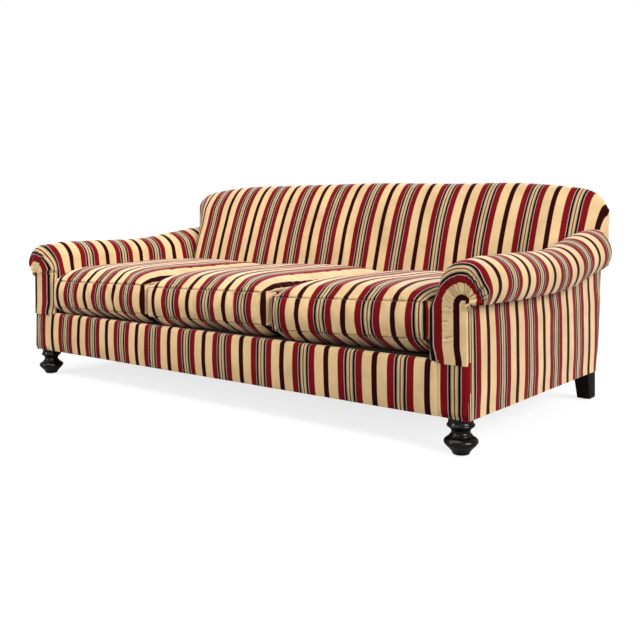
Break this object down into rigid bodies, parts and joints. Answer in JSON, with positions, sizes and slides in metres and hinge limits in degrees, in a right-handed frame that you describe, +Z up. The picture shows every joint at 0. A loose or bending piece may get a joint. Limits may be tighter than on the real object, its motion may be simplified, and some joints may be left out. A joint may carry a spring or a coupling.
{
  "type": "english roll arm sofa",
  "caption": "Long roll arm sofa with a tight sprung back, low rolled arms with pleated fronts, turned front feet and loose box seat cushions.",
  "frame": {"origin": "on the floor, under the middle of the sofa's outer box", "axes": "+X to the right as seen from the front, +Y from the front to the back, +Z up"},
  "size_m": [2.366, 1.078, 0.855],
  "materials": {
    "beech_frame": "planed, unfinished",
    "ebonised_wood": "black lacquer, glossy",
    "steel": "plain spring steel",
    "glide_nylon": "moulded",
    "striped_velvet": "striped velvet, gold, crimson, dark brown, black and cream",
    "deck_canvas": "plain woven canvas over wadding",
    "felt": "needled felt",
    "jute_webbing": "woven jute",
    "cushion_filling": "feather-filled inner cushion",
    "dust_cloth": "black woven dust cloth"
  },
  "bodies": {
    "sofa_frame": {"front_rail": "beech_frame", "back_rail": "beech_frame", "back_lower_rail": "beech_frame", "back_top_rail": "beech_frame", "side_rail_left": "beech_frame", "side_rail_right": "beech_frame", "seat_brace_left": "beech_frame", "seat_brace_right": "beech_frame", "front_corner_block_left": "beech_frame", "front_corner_block_right": "beech_frame", "rear_corner_block_left": "beech_frame", "rear_corner_block_right": "beech_frame", "arm_post_left": "beech_frame", "arm_post_right": "beech_frame", "arm_board_left": "beech_frame", "arm_board_right": "beech_frame", "arm_tacking_rail_left": "beech_frame", "arm_tacking_rail_right": "beech_frame", "back_post_left": "beech_frame", "back_post_right": "beech_frame", "back_stile_left": "beech_frame", "back_stile_right": "beech_frame", "front_foot_left": "ebonised_wood", "front_foot_right": "ebonised_wood", "rear_leg_left": "ebonised_wood", "rear_leg_right": "ebonised_wood", "foot_stud_left": "steel", "foot_stud_right": "steel", "front_glide_left": "glide_nylon", "front_glide_right": "glide_nylon", "rear_glide_left": "glide_nylon", "rear_glide_right": "glide_nylon", "front_spring_strip": "steel", "rear_spring_strip": "steel", "spring_unit_left": "steel", "spring_unit_middle": "steel", "spring_unit_right": "steel", "deck_insulator": "felt", "deck_cover": "deck_canvas", "back_webbing": "jute_webbing", "arm_pad_left": "striped_velvet", "arm_pad_right": "striped_velvet", "arm_facing_left": "striped_velvet", "arm_facing_right": "striped_velvet", "outside_arm_left": "striped_velvet", "outside_arm_right": "striped_velvet", "front_border": "striped_velvet", "back_pad": "striped_velvet", "outside_back": "striped_velvet", "dust_cover": "dust_cloth"},
    "left_cushion": {"cushion_casing_left": "striped_velvet", "cushion_filling_left": "cushion_filling", "cushion_zip_left": "steel"},
    "middle_cushion": {"cushion_casing_middle": "striped_velvet", "cushion_filling_middle": "cushion_filling", "cushion_zip_middle": "steel"},
    "right_cushion": {"cushion_casing_right": "striped_velvet", "cushion_filling_right": "cushion_filling", "cushion_zip_right": "steel"}
  },
  "joints": [
    {"name": "left_cushion_lift", "type": "slide", "parent": "sofa_frame", "child": "left_cushion", "axis": [0, 0, 1], "range_m": [0, 0.3]},
    {"name": "middle_cushion_lift", "type": "slide", "parent": "sofa_frame", "child": "middle_cushion", "axis": [0, 0, 1], "range_m": [0, 0.3]},
    {"name": "right_cushion_lift", "type": "slide", "parent": "sofa_frame", "child": "right_cushion", "axis": [0, 0, 1], "range_m": [0, 0.3]}
  ]
}
